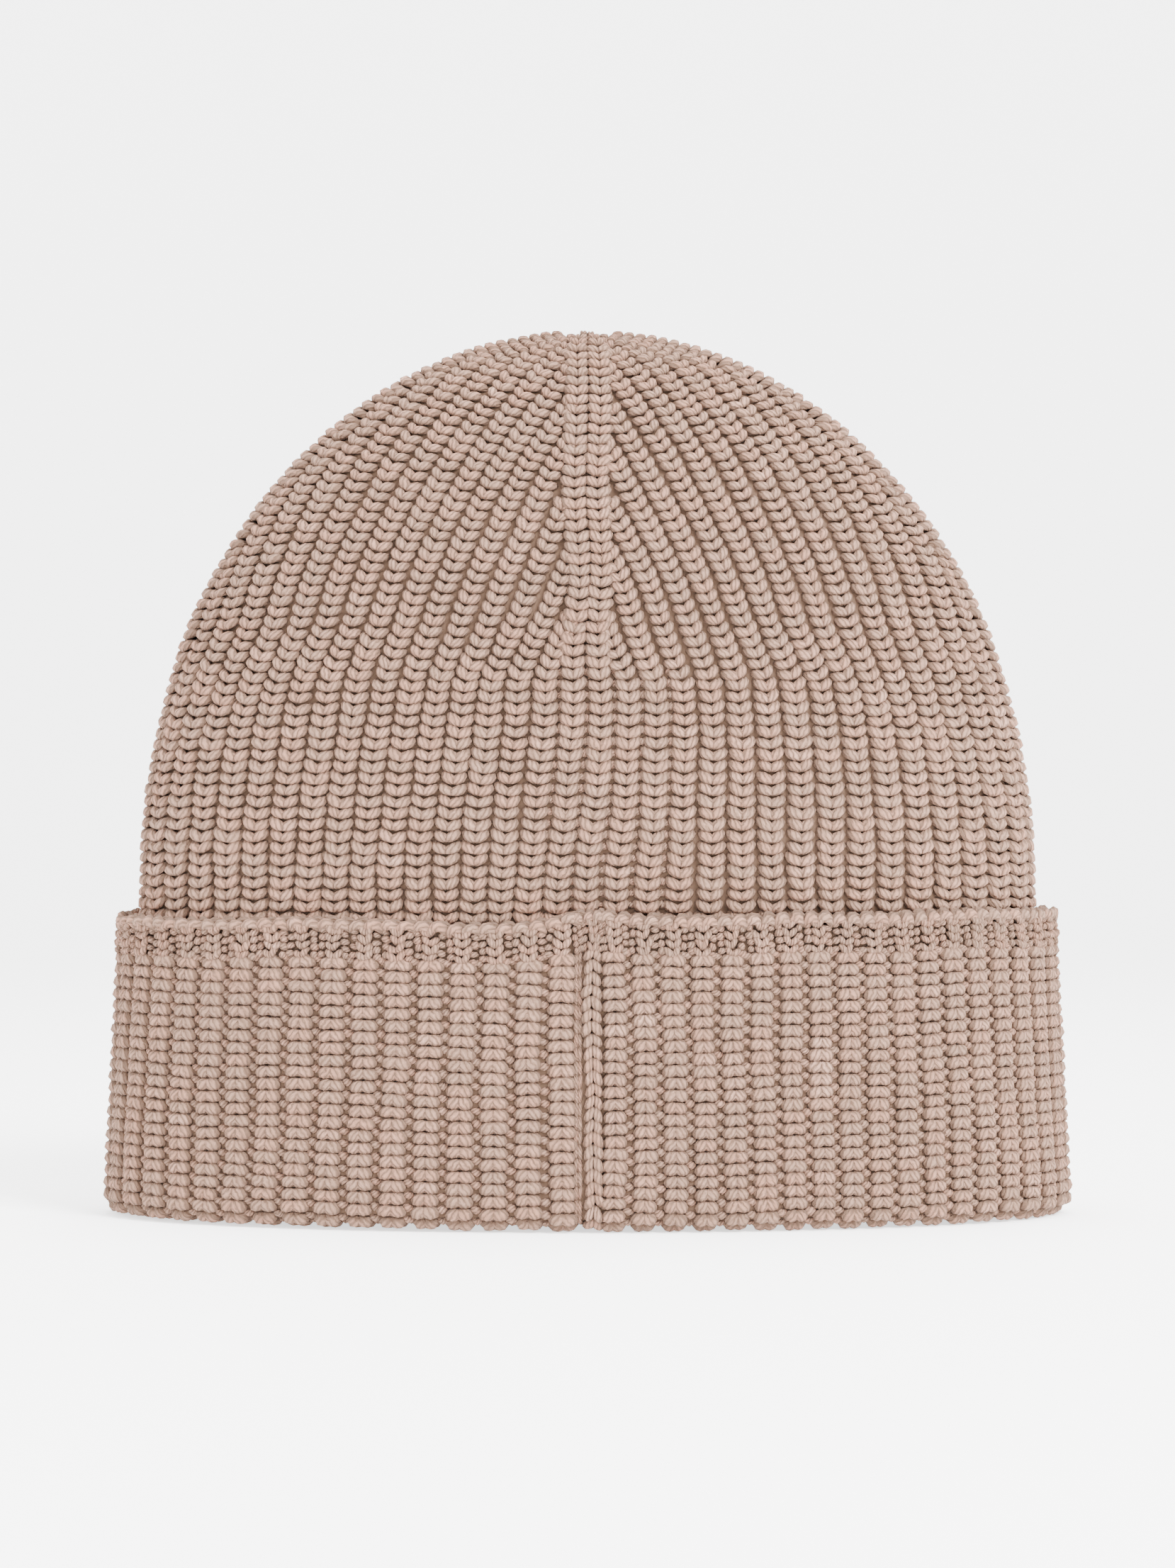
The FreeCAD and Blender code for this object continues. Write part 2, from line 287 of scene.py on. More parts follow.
def yarn(path, radii, sides):
    """A tapered length of yarn along a path: vertices, faces and a map with u round it and v along it."""
    path, radii = np.array(path, float), np.array(radii, float)
    tangent = unit(np.gradient(path, axis=0))
    across = unit(np.cross(tangent, np.array([0.0, 0.31, 1.0])))
    outward = np.cross(across, tangent)
    angle = np.radians(SECTIONS[sides])
    ring = across[:, None] * np.cos(angle)[None, :, None] + outward[:, None] * np.sin(angle)[None, :, None]
    points = (path[:, None] + ring * radii[:, None, None]).reshape(-1, 3)
    turns = np.append(SECTIONS[sides], SECTIONS[sides][0] + 360) / 360
    faces, maps = [], []
    last = len(path) - 1
    for i in range(last):
        for j in range(sides):
            k = (j + 1) % sides
            faces.append((i * sides + j, (i + 1) * sides + j, (i + 1) * sides + k, i * sides + k))
            u0, u1, v0, v1 = turns[j], turns[j + 1], i / last, (i + 1) / last
            maps.append(((u0, v0), (u0, v1), (u1, v1), (u1, v0)))
    for ring_start, order in ((0, range(sides)), (last * sides, reversed(range(sides)))):
        faces.append(tuple(ring_start + j for j in order))
        maps.append(tuple((0.5, float(ring_start > 0)) for _ in range(sides)))
    return points, faces, maps


def smooth_path(points, count):
    """A Catmull-Rom curve through a few points, read at count places."""
    points = np.array(points, float)
    padded = np.vstack([2 * points[0] - points[1], points, 2 * points[-1] - points[-2]])
    where = np.linspace(0, len(points) - 1, count)
    start = np.minimum(where.astype(int), len(points) - 2)
    t = (where - start)[:, None]
    a, b, c, d = (padded[start + i] for i in range(4))
    return 0.5 * (2 * b + (c - a) * t + (2 * a - 5 * b + 4 * c - d) * t**2 + (3 * b - a - 3 * c + d) * t**3)


def scene_object(name, data):
    """A new object in the scene, made of data."""
    made = bpy.data.objects.new(name, data)
    bpy.context.scene.collection.objects.link(made)
    return made


RELIEF_DEEP = 2.2 * MM  # relief fades from 1 to 0 over this depth


def mesh_object(name, parts, tilt=0.0):
    """One stitch from several (vertices, faces, maps), in metres, smooth shaded.

    tilt lifts its lower edge over the stitch below. The attribute relief is 1 on top, 0 where it sinks in."""
    vertices, faces, maps = [], [], []
    for points, part_faces, part_maps in parts:
        start = len(vertices)
        vertices.extend(points)
        faces.extend(tuple(start + i for i in face) for face in part_faces)
        maps.extend(part_maps)
    vertices = np.array(vertices)
    vertices[:, 2] -= tilt * vertices[:, 1]
    mesh = bpy.data.meshes.new(name)
    mesh.from_pydata([tuple(v) for v in vertices], [], faces)
    # relief is also the mask for the yarn's painted shade where a stitch sinks between its neighbours
    relief = np.clip((vertices[:, 2] - vertices[:, 2].max()) / RELIEF_DEEP + 1, 0, 1)
    mesh.attributes.new("relief", "FLOAT", "POINT").data.foreach_set("value", relief.astype(np.float32))
    layer = mesh.uv_layers.new(name="Yarn")
    layer.uv.foreach_set("vector", np.array([c for face in maps for c in face], np.float32).ravel())
    mesh.shade_smooth()
    return scene_object(name, mesh)


def mirrored(part):
    """A part mirrored across the rib, still facing outwards."""
    points, faces, maps = part
    faces = [tuple(reversed(face)) for face in faces]
    maps = [tuple(reversed(corners)) for corners in maps]
    return points * np.array([-1, 1, 1]), faces, maps


def curved_yarn(points, radii, segments, sides):
    """Yarn on a smooth path through a few points, with radii spread along it, in millimetres."""
    path = smooth_path(np.array(points) * MM, segments)
    thick = np.interp(np.linspace(0, 1, segments), np.linspace(0, 1, len(radii)), np.array(radii) * MM)
    return yarn(path, thick, sides)


def stitch(name, leg, radii, segments=7, sides=6, tilt=0.0):
    """A stitch of two mirrored legs, from one leg's points and radii in millimetres."""
    part = curved_yarn(leg, radii, segments, sides)
    return mesh_object(name, [part, mirrored(part)], tilt)


def single(name, points, radii, segments, sides=6):
    """A stitch of one piece of yarn, from its points and radii in millimetres."""
    return mesh_object(name, [curved_yarn(points, radii, segments, sides)])


# In a stitch's own frame x runs across the rib, y up the rib in knitting order and z out of the fabric.
STITCH_WIDTH = 7.0 * MM
shapes = {
    "body": stitch(
        "body_stitch",
        [
            (0.0, -0.86, 0.0), (0.75, -0.62, 0.45), (1.5, -0.28, 0.55),
            (2.14, 0.18, 0.2), (2.52, 0.66, -0.75), (2.45, 0.85, -2.0),
        ],
        [1.04, 1.18, 1.28, 1.24, 1.02, 0.7],
        tilt=0.16,
    ),
    "cuff": stitch(
        "cuff_stitch",
        [
            (0.0, -0.12, 0.1), (0.7, -0.16, 0.34), (1.3, -0.04, 0.38),
            (1.8, 0.08, 0.1), (2.08, 0.24, -0.7), (2.0, 0.34, -1.8),
        ],
        [1.28, 1.38, 1.42, 1.34, 1.08, 0.8],
        tilt=-0.16,
    ),
    "seam": stitch(
        "seam_stitch",
        [(0.1, -1.4, -0.5), (0.5, -0.8, 0.3), (1.05, 0.1, 0.5), (1.5, 0.9, 0.0), (1.55, 1.2, -1.4)],
        [0.60, 0.95, 1.1, 0.95, 0.6],
    ),
    "welt": stitch(
        "welt_stitch",
        [(0.1, -1.2, -0.5), (0.35, -0.7, 0.25), (0.75, 0.05, 0.5), (1.15, 0.75, 0.3), (1.35, 1.15, -0.7)],
        [0.5, 0.72, 0.80, 0.74, 0.5],
    ),
    "inner": stitch(
        "inner_stitch",
        [(0.15, -0.8, -0.3), (1.2, -0.3, 0.45), (2.3, 0.5, 0.1), (2.7, 0.9, -1.0)],
        [0.7, 1.15, 1.15, 0.6],
        segments=4,
        sides=4,
    ),
}
shapes["bead"] = single(
    "purl_bead",
    [(-1.1, -0.1, -0.6), (-0.4, 0.1, 0.1), (0.4, 0.1, 0.1), (1.1, -0.1, -0.6)],
    [0.4, 0.92, 0.92, 0.4],
    segments=5,
)
shapes["strand"] = single(
    "ladder_strand",
    [(-1.9, 0, -0.5), (-0.7, 0.1, 0.1), (0.7, 0.1, 0.1), (1.9, 0, -0.5)],
    [0.4, 0.62, 0.62, 0.4],
    segments=5,
    sides=5,
)
shapes["loop"] = single(
    "edge_loop",
    [
        (-1.75, 0.95, -0.7), (-1.4, 0.1, 0.1), (-0.6, -0.65, 0.35),
        (0.6, -0.65, 0.35), (1.4, 0.1, 0.1), (1.75, 0.95, -0.7),
    ],
    [0.6, 0.95, 1.2, 1.2, 0.95, 0.6],
    segments=8,
)


# ---------------------------------------------------------------- materials
def linear(hex_colour):
    """An sRGB hex colour as linear RGBA."""
    channels = [int(hex_colour[i : i + 2], 16) / 255 for i in (0, 2, 4)]
    return (*[c / 12.92 if c <= 0.04045 else ((c + 0.055) / 1.055) ** 2.4 for c in channels], 1)


def new_material(name, **shader_values):
    """A material and its shader, with the shader's named sockets set."""
    material = bpy.data.materials.new(name)
    material.use_nodes = True
    shader = material.node_tree.nodes["Principled BSDF"]
    for socket, value in shader_values.items():
        shader.inputs[socket.replace("_", " ")].default_value = value
    return material, shader


def add_node(tree, kind, links=None, settings=None, values=None):
    """Adds a node, sets its properties and socket values, and links sockets into it."""
    made = tree.nodes.new(kind)
    for name, value in (settings or {}).items():
        setattr(made, name, value)
    for name, value in (values or {}).items():
        made.inputs[name].default_value = value
    for name, source in (links or {}).items():
        tree.links.new(source, made.inputs[name])
    return made


def maths(tree, operation, *inputs, **settings):
    """A maths node's result. Each input is a number or another node's output."""
    made = add_node(tree, "ShaderNodeMath", settings={"operation": operation, **settings})
    for place, given in enumerate(inputs):
        if isinstance(given, bpy.types.NodeSocket):
            tree.links.new(given, made.inputs[place])
        else:
            made.inputs[place].default_value = given
    return made.outputs[0]


def mapped(tree, value, start, end, to_start=0.0, to_end=1.0):
    """A value mapped from one range to another, and kept inside it."""
    ranges = {"From Min": start, "From Max": end, "To Min": to_start, "To Max": to_end}
    return add_node(tree, "ShaderNodeMapRange", {"Value": value}, values=ranges).outputs[0]


def noise(tree, grain, detail, roughness=0.5):
    """Noise through the piece, 0 to 1, with grains of a size in metres."""
    coords = add_node(tree, "ShaderNodeTexCoord")
    return add_node(
        tree, "ShaderNodeTexNoise", {"Vector": coords.outputs["Object"]},
        values={"Scale": 1 / grain, "Detail": detail, "Roughness": roughness},
    ).outputs["Fac"]


BANDS_A_METRE = 0.314  # a wave texture of this scale has one band to the metre
THREAD = 0.5 * MM  # ribbon and sewing threads are drawn this wide


def threads(tree, direction, distortion):
    """Bands across a direction, 0 to 1, one to a thread."""
    coords = add_node(tree, "ShaderNodeTexCoord")
    return add_node(
        tree, "ShaderNodeTexWave", {"Vector": coords.outputs["Object"]},
        {"wave_type": "BANDS", "bands_direction": direction},
        {"Scale": BANDS_A_METRE / THREAD, "Distortion": distortion},
    ).outputs["Fac"]


def ramp(tree, value, stops):
    """The colour for a value on a ramp of (place, hex colour) stops."""
    made = add_node(tree, "ShaderNodeValToRGB", {"Fac": value})
    elements = made.color_ramp.elements
    while len(elements) < len(stops):
        elements.new(0.5)
    for element, (place, colour) in zip(elements, stops):
        element.position = place
        element.color = linear(colour)
    return made.outputs["Color"]


def surface(tree, shader, colour, height, strength, distance):
    """Gives a shader its colour, and fine relief from a height."""
    bump = add_node(
        tree, "ShaderNodeBump", {"Height": height}, values={"Strength": strength, "Distance": distance}
    )
    tree.links.new(colour, shader.inputs["Base Color"])
    tree.links.new(bump.outputs["Normal"], shader.inputs["Normal"])


PLIES = 5  # strands round the yarn, drawn about 1 mm wide
PLY_TURNS = -3.7  # strands crossed along one stitch leg


def plied_yarn(name, tints, painted_shade_colour):
    """Plied wool-blend yarn: soft, matt and hairy, with twisted strands, a tint that changes a little from
    stitch to stitch, and painted brown shade between the strands and where a stitch sinks between its
    neighbours."""
    material, shader = new_material(
        name, Roughness=0.9, Specular_IOR_Level=0.2, Sheen_Weight=0.08, Sheen_Roughness=0.5, IOR=1.5
    )
    shader.inputs["Sheen Tint"].default_value = linear("F0D8C8")
    tree = material.node_tree
    shade, relief = (
        add_node(tree, "ShaderNodeAttribute", settings={"attribute_name": key}).outputs["Fac"]
        for key in ("shade", "relief")
    )
    # the tint changes through the piece and from stitch to stitch
    marl = noise(tree, 14 * MM, 3.0, 0.6)
    tint = ramp(tree, mapped(tree, maths(tree, "MULTIPLY_ADD", marl, 1.6, shade), 0.5, 2.1), tints)
    # strands run round the yarn as they run along it
    place = add_node(tree, "ShaderNodeUVMap", settings={"uv_map": "Yarn"})
    split = add_node(tree, "ShaderNodeSeparateXYZ", {"Vector": place.outputs["UV"]})
    twisted = maths(tree, "MULTIPLY", split.outputs["Y"], PLY_TURNS)
    phase = maths(tree, "MULTIPLY_ADD", split.outputs["X"], PLIES, twisted)
    stray = noise(tree, 1.3 * MM, 1.0)
    loose = maths(tree, "MULTIPLY_ADD", stray, 0.9, phase)
    ply = maths(tree, "ABSOLUTE", maths(tree, "SINE", maths(tree, "MULTIPLY", loose, math.pi)))
    # fibres run along the strands, and differ on each stitch
    lengthwise = add_node(tree, "ShaderNodeCombineXYZ", {"X": phase, "Y": split.outputs["Y"]})
    own = maths(tree, "MULTIPLY", shade, 61.0)
    fibre = add_node(
        tree, "ShaderNodeTexNoise", {"Vector": lengthwise.outputs[0], "W": own},
        {"noise_dimensions": "4D"}, {"Scale": 4.2, "Detail": 3.5, "Roughness": 0.7},
    )
    hairs = maths(tree, "MULTIPLY_ADD", fibre.outputs["Fac"], 1.8, ply)
    # painted brown shade lies between the strands and where the stitch sinks in; the darker fibre streaks are
    # the yarn's own tone
    strand_shade_and_fibre_tone = mapped(tree, hairs, 0.9, 2.1, 0.9, 0.0)
    painted_sink_shade = mapped(tree, relief, 0.3, 1.0, 0.9, 0.0)
    shaded = maths(tree, "ADD", strand_shade_and_fibre_tone, painted_sink_shade, use_clamp=True)
    colour = add_node(tree, "ShaderNodeMix", {"Factor": shaded}, {"data_type": "RGBA"})
    tree.links.new(tint, colour.inputs[6])
    colour.inputs[7].default_value = linear(painted_shade_colour)
    uneven = maths(tree, "MULTIPLY_ADD", stray, 1.5, hairs)
    surface(tree, shader, colour.outputs[2], uneven, 1.0, 0.42 * MM)
    return material


YARN = plied_yarn(
    "plied wool-blend rib knit",
    tints=[(0.0, "997B69"), (0.4, "A6826E"), (0.7, "AD7F69"), (1.0, "C09884")],
    # the painted shade colour, mixed in between the strands and where a stitch sinks in
    painted_shade_colour="6C5344",
)
for shape in shapes.values():
    shape.data.materials.append(YARN)


def shaded_ground_material():
    """The hidden back of the knit, seen only as a dark line between ribs; the same yarn, painted dark brown
    as shade.
    """
    material, shader = new_material("rib knit ground, painted shade", Roughness=0.95, Specular_IOR_Level=0.1)
    tree = material.node_tree
    # painted shade: dark browns in place of the yarn's own pale tint
    tint = ramp(tree, noise(tree, 2.0 * MM, 2.0), [(0.3, "4A392E"), (0.7, "5C483B")])
    tree.links.new(tint, shader.inputs["Base Color"])
    return material


SHADED_GROUND = shaded_ground_material()


# ---------------------------------------------------------------- stitches by Geometry Nodes
def stitch_tree():
    """Puts one stitch on each point, turned to the rib and tinted at random, and makes it real."""
    tree = bpy.data.node_groups.new("knit stitches", "GeometryNodeTree")
    sockets = (
        ("Places", "NodeSocketGeometry"), ("Stitch", "NodeSocketObject"), ("Lean", "NodeSocketFloat"),
        ("Size spread", "NodeSocketFloat"), ("Seed", "NodeSocketInt"),
    )
    for name, kind in sockets:
        tree.interface.new_socket(name, in_out="INPUT", socket_type=kind)
    tree.interface.new_socket("Knit", in_out="OUTPUT", socket_type="NodeSocketGeometry")
    given = tree.nodes.new("NodeGroupInput").outputs
    reads = [
        add_node(
            tree, "GeometryNodeInputNamedAttribute",
            settings={"data_type": "FLOAT_VECTOR"}, values={"Name": name},
        )
        for name in ("out", "along", "size")
    ]
    out, along, size = (read.outputs["Attribute"] for read in reads)
    shade = add_node(tree, "FunctionNodeRandomValue", {"Seed": given["Seed"]}, {"data_type": "FLOAT"})
    tinted = add_node(
        tree, "GeometryNodeStoreNamedAttribute", {"Geometry": given["Places"], "Value": shade.outputs[1]},
        {"data_type": "FLOAT", "domain": "POINT"}, {"Name": "shade"},
    )
    facing = add_node(
        tree, "FunctionNodeAxesToRotation", {"Primary Axis": out, "Secondary Axis": along},
        {"primary_axis": "Z", "secondary_axis": "Y"},
    )
    lean_back = maths(tree, "MULTIPLY", given["Lean"], -1.0)
    wobble = add_node(
        tree, "FunctionNodeRandomValue",
        {"Min": lean_back, "Max": given["Lean"], "Seed": given["Seed"]},
        {"data_type": "FLOAT_VECTOR"},
    )
    turned = add_node(
        tree, "FunctionNodeRotateRotation",
        {"Rotation": facing.outputs[0], "Rotate By": wobble.outputs[0]}, {"rotation_space": "LOCAL"},
    )
    least = maths(tree, "SUBTRACT", 1.0, given["Size spread"])
    most = maths(tree, "ADD", 1.0, given["Size spread"])
    spread = add_node(
        tree, "FunctionNodeRandomValue",
        {"Min": least, "Max": most, "Seed": given["Seed"]},
        {"data_type": "FLOAT_VECTOR"},
    )
    scaled = add_node(
        tree, "ShaderNodeVectorMath", {0: size, 1: spread.outputs[0]}, {"operation": "MULTIPLY"}
    )
    model = add_node(tree, "GeometryNodeObjectInfo", {"Object": given["Stitch"]})
    placed = add_node(
        tree, "GeometryNodeInstanceOnPoints",
        {
            "Points": tinted.outputs[0], "Instance": model.outputs["Geometry"],
            "Rotation": turned.outputs[0], "Scale": scaled.outputs[0],
        },
    )
    real = add_node(tree, "GeometryNodeRealizeInstances", {"Geometry": placed.outputs[0]})
    add_node(tree, "NodeGroupOutput", {"Knit": real.outputs[0]})
    return tree


STITCHES = stitch_tree()


class Places:
    """A growing list of stitch places: where, which way out, which way along, and how large."""

    def __init__(self):
        self.where, self.out, self.along, self.size = [], [], [], []

    def add(self, where, out, along, size):
        self.where.append(where)
        self.out.append(out)
        self.along.append(along)
        self.size.append(size)

    def mesh(self, name):
        mesh = bpy.data.meshes.new(name)
        mesh.from_pydata([tuple(p) for p in self.where], [], [])
        for key in ("out", "along", "size"):
            values = mesh.attributes.new(key, "FLOAT_VECTOR", "POINT")
            values.data.foreach_set("vector", np.array(getattr(self, key), np.float32).ravel())
        return mesh


def plain_mesh(host, name):
    """The evaluated host as a plain mesh object of its own; the host is removed."""
    graph = bpy.context.evaluated_depsgraph_get()
    mesh = bpy.data.meshes.new_from_object(
        host.evaluated_get(graph), preserve_all_data_layers=True, depsgraph=graph
    )
    mesh.name = name
    bpy.data.objects.remove(host)
    return scene_object(name, mesh)


def knitted(name, places, shape, seed, lean=0.05, spread=0.05):
    """Knits one piece from its stitch places."""
    host = scene_object(name + "_places", places.mesh(name + "_places"))
    modifier = host.modifiers.new("knit", "NODES")
    modifier.node_group = STITCHES
    inputs = {"Stitch": shapes[shape], "Lean": lean, "Size spread": spread, "Seed": seed}
    for item in STITCHES.interface.items_tree:
        if item.in_out == "INPUT" and item.name in inputs:
            modifier[item.identifier] = inputs[item.name]
    piece = plain_mesh(host, name)
    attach(piece, "hat")
    return piece


def rows_along(points, row):
    """Distances up a rib at which its stitches lie, and the rib's own distances."""
    travelled = np.concatenate([[0], np.cumsum(np.linalg.norm(np.diff(points, axis=0), axis=1))])
    return np.arange(row / 2, travelled[-1], row), travelled


def read_at(distance, travelled, values):
    """Values or vectors given at the travelled distances, read at other distances."""
    if values.ndim == 1:
        return np.interp(distance, travelled, values)
    return np.stack([np.interp(distance, travelled, values[:, i]) for i in range(values.shape[1])], -1)


def knit_rib(places, points, normals, width, row, scale, size_z=1.0, keep=None):
    """Adds a rib's stitches to places."""
    distances, travelled = rows_along(points, row)
    tangents = unit(np.gradient(points, axis=0))
    where = read_at(distances, travelled, points)
    out = unit(read_at(distances, travelled, normals))
    along = unit(read_at(distances, travelled, tangents))
    widths = read_at(distances, travelled, np.broadcast_to(width, (len(points),)).astype(float))
    for i in range(len(distances)):
        if keep is None or keep(where[i]):
            places.add(where[i], out[i], along[i], (widths[i] / scale, row / BODY_ROW, size_z))


stitched = {"body": [], "cuff": []}

# The body and crown, outside.
zones = {(zone, front): Places() for zone in ("body", "crown") for front in (False, True)}
for points, normals, width, front in body_ribs(STITCH_DEPTH):
    for zone in ("body", "crown"):
        above = (lambda p: p[2] >= CROWN_START) if zone == "crown" else (lambda p: p[2] < CROWN_START)
        knit_rib(zones[zone, front], points, normals, width, BODY_ROW, STITCH_WIDTH, keep=above)
for number, ((zone, front), places) in enumerate(zones.items()):
    name = f"{zone}_ribs_{'front' if front else 'back'}"
    stitched["body"].append(knitted(name, places, "body", seed=10 + number, lean=0.1, spread=0.08))

# Purl beads show in the valleys round the body's seam, where the ribs are drawn apart.
body_beads = Places()
height, share = levels(0.5 * MM)
drawn = height < CROWN_START - 4 * MM
left = BODY_RIBS_A_QUARTER - run_out(height, CENTRE_ENDS, 8 * MM) - run_out(height, SIDE_ENDS, 10 * MM)
for valley in (-1, 0, 1, 2, 3):
    along = (valley * BODY_OVAL.quarter * share * share_of_quarter(1 / left))[drawn]
    along = along + drift(along, height[drawn])
    points, normals = on_body(along, height[drawn], share[drawn], STITCH_DEPTH + 0.4 * MM, False)
    knit_rib(body_beads, points, normals, 0.7, BODY_ROW, 1.0)
stitched["body"].append(knitted("body_purl_beads", body_beads, "bead", seed=18, lean=0.25, spread=0.2))


def valleys(along, width, front, is_seam):
    """The valleys knitted with a rib: its far side's, and both beside the seam column and at centre front."""
    both = is_seam or (front and 0 < along < width)
    far_side = along + math.copysign(width / 2, along)
    return (far_side, far_side - math.copysign(width, along)) if both else (far_side,)


# The cuff, from under its welt down and round the fold.
cuff_zones = {"back_left": Places(), "back_right": Places(), "front_left": Places(), "front_right": Places()}
seam_places, beads, seam_strands = Places(), Places(), Places()
for number, (along, width, front, is_seam) in enumerate(cuff_columns()):
    rise = cuff_edge(along, front)
    section = cuff_section(STITCH_DEPTH, WELT_BASE - 1 * MM + rise, FOLD_MIDDLE + 1 * MM)
    points, normals = on_cuff(along + wander(number, section[1]), front, section)
    full = plumpness(number, section[1])
    if is_seam:
        knit_rib(seam_places, points, normals, width * full, CUFF_ROW, 4.9 * MM)
        # two drawn threads lie up the narrow valley on its left
        valley = cuff_section(STITCH_DEPTH + 0.45 * MM, CUFF_TOP - 1 * MM, FOLD_MIDDLE)
        for offset in (-2.75, -3.6):
            points, normals = on_cuff(along + offset * MM, front, valley)
            distances, travelled = rows_along(points, 3.0 * MM)
            for at in distances:
                out = unit(read_at(at, travelled, normals))
                down = unit(read_at(at, travelled, np.gradient(points, axis=0)))
                seam_strands.add(read_at(at, travelled, points), out, np.cross(down, out), (0.95, 1, 1))
        continue
    zone = f"{'front' if front else 'back'}_{'left' if along < 0 else 'right'}"
    knit_rib(cuff_zones[zone], points, normals, 0.98 * width * full, CUFF_ROW, STITCH_WIDTH)
    # purl beads in the valleys beside the rib
    bead_section = cuff_section(STITCH_DEPTH + 0.35 * MM, WELT_BASE + rise, FOLD_MIDDLE)
    for valley in valleys(along, width, front, is_seam):
        points, normals = on_cuff(valley + wander(number, bead_section[1]), front, bead_section)
        knit_rib(beads, points, normals, 1.1, CUFF_ROW, 1.0)
for number, (zone, places) in enumerate(cuff_zones.items()):
    name = f"cuff_ribs_{zone}"
    stitched["cuff"].append(knitted(name, places, "cuff", seed=20 + number, lean=0.06, spread=0.07))
stitched["cuff"].append(knitted("cuff_seam_column", seam_places, "seam", seed=31, lean=0.16, spread=0.1))
stitched["cuff"].append(knitted("cuff_seam_strands", seam_strands, "strand", seed=33, lean=0.14, spread=0.1))
stitched["cuff"].append(knitted("cuff_purl_beads", beads, "bead", seed=32, lean=0.15, spread=0.12))


# The cast-on welt: fat arches along its edge, a short chain over each rib, and small bars in the valleys.
UP, DOWN = np.array([0, 0, 1.0]), np.array([0, 0, -1.0])
LOOP_WIDE = 4.0 * MM
chains, bars, arches = Places(), Places(), Places()


def on_welt(along, front, height, depth):
    """A point and its normal on the welt, at a signed arc length round the cuff."""
    flat = (np.array([depth]), np.array([height + cuff_edge(along, front)]), np.ones(1), np.zeros(1))
    points, normals = on_cuff(along, front, flat)
    return points[0], normals[0]


for number, (along, width, front, is_seam) in enumerate(cuff_columns()):
    stretch = width / STITCH_WIDTH
    for level in (-0.6, 1.2, 3.0, 4.8):
        stray = 0.25 * MM * math.sin(5 * number + level)
        where, out = on_welt(along + stray, front, WELT_BASE + level * MM, 1.5 * MM)
        chains.add(where, out, UP, (stretch * 1.05, 0.85, 1.1))
    for valley in valleys(along, width, front, is_seam):
        for row, level in enumerate((-0.8, 0.9, 2.6, 4.3)):
            for place in (-2.3, -1.0, 0.1, 1.0) if is_seam else (-1.0, 1.0):
                stray = 0.2 * MM * math.sin(7 * number + 3 * level + place)
                height = WELT_BASE + (level + 0.3 * place) * MM + stray
                where, out = on_welt(valley + place * MM * stretch + stray, front, height, 1.75 * MM)
                bars.add(where, out, UP, (0.82 * stretch, 0.95, 1))
    offsets = (-0.75, -0.25, 0.25) if is_seam else (-0.25, 0.25)
    for offset in offsets:
        snug = 1.1 * width / 2 / LOOP_WIDE
        where, out = on_welt(along + offset * width, front, CUFF_TOP - 1.6 * MM, 1.6 * MM)
        arches.add(where, out, DOWN, (snug, 1, 1.1))
        where, out = on_welt(along + (offset + 0.1) * width, front, CUFF_TOP - 1.2 * MM, 3.0 * MM)
        arches.add(where, -out, DOWN, (snug, 1, 0.8))
stitched["cuff"].append(knitted("welt_chains", chains, "welt", seed=41, lean=0.25, spread=0.14))
stitched["cuff"].append(knitted("welt_bars", bars, "bead", seed=42, lean=0.4, spread=0.2))
stitched["cuff"].append(knitted("welt_edge_arches", arches, "loop", seed=43, lean=0.16, spread=0.12))

# The inside: the ribs come round the fold and run up to the gathering, seen through the opening.
inside = {False: Places(), True: Places()}
for along, width, front, _ in cuff_columns():
    section = cuff_section(STITCH_DEPTH, FOLD_MIDDLE + 1 * MM, CUFF_TOP)
    begin = int(np.argmax(section[2] < -0.35))
    section = tuple(part[begin:] for part in section)
    points, normals = on_cuff(along, front, section)
    knit_rib(inside[front], points, normals, width, CUFF_ROW, STITCH_WIDTH)
INNER_ROW = 2.9 * MM
for points, normals, width, front in body_ribs(INNER_DEPTH):
    above = points[:, 2] > CUFF_TOP
    knit_rib(inside[front], points[above], -normals[above], width[above], INNER_ROW, STITCH_WIDTH, 0.8)
for front, places in inside.items():
    name = f"inside_ribs_{'front' if front else 'back'}"
    stitched["cuff"].append(knitted(name, places, "inner", seed=51 + front))

# The seam allowance: the panel's two edge chains, sewn together down the inside of the centre back.
allowance = Places()
height, share = levels(0.5 * MM)
under_top = (height > CUFF_TOP) & (height < HAT_TOP - 14 * MM)
for side in (-1, 1):
    along = np.full(int(under_top.sum()), side * 1.3 * MM)
    points, normals = on_body(along, height[under_top], share[under_top], FABRIC + 0.9 * MM, False)
    knit_rib(allowance, points, -normals, 3.0 * MM, BODY_ROW, STITCH_WIDTH)
    section = cuff_section(STITCH_DEPTH, FOLD_MIDDLE + 1 * MM, CUFF_TOP)
    behind = section[1] > 7 * MM
    behind[: int(np.argmax(section[2] < -0.99))] = False
    section = tuple(part[behind] for part in section)
    points, normals = on_cuff(side * 1.3 * MM, False, section)
    knit_rib(allowance, points + normals * 2.4 * MM, normals, 3.0 * MM, CUFF_ROW, STITCH_WIDTH)
seam_allowance = knitted("seam_allowance_chains", allowance, "inner", seed=55, lean=0.1)

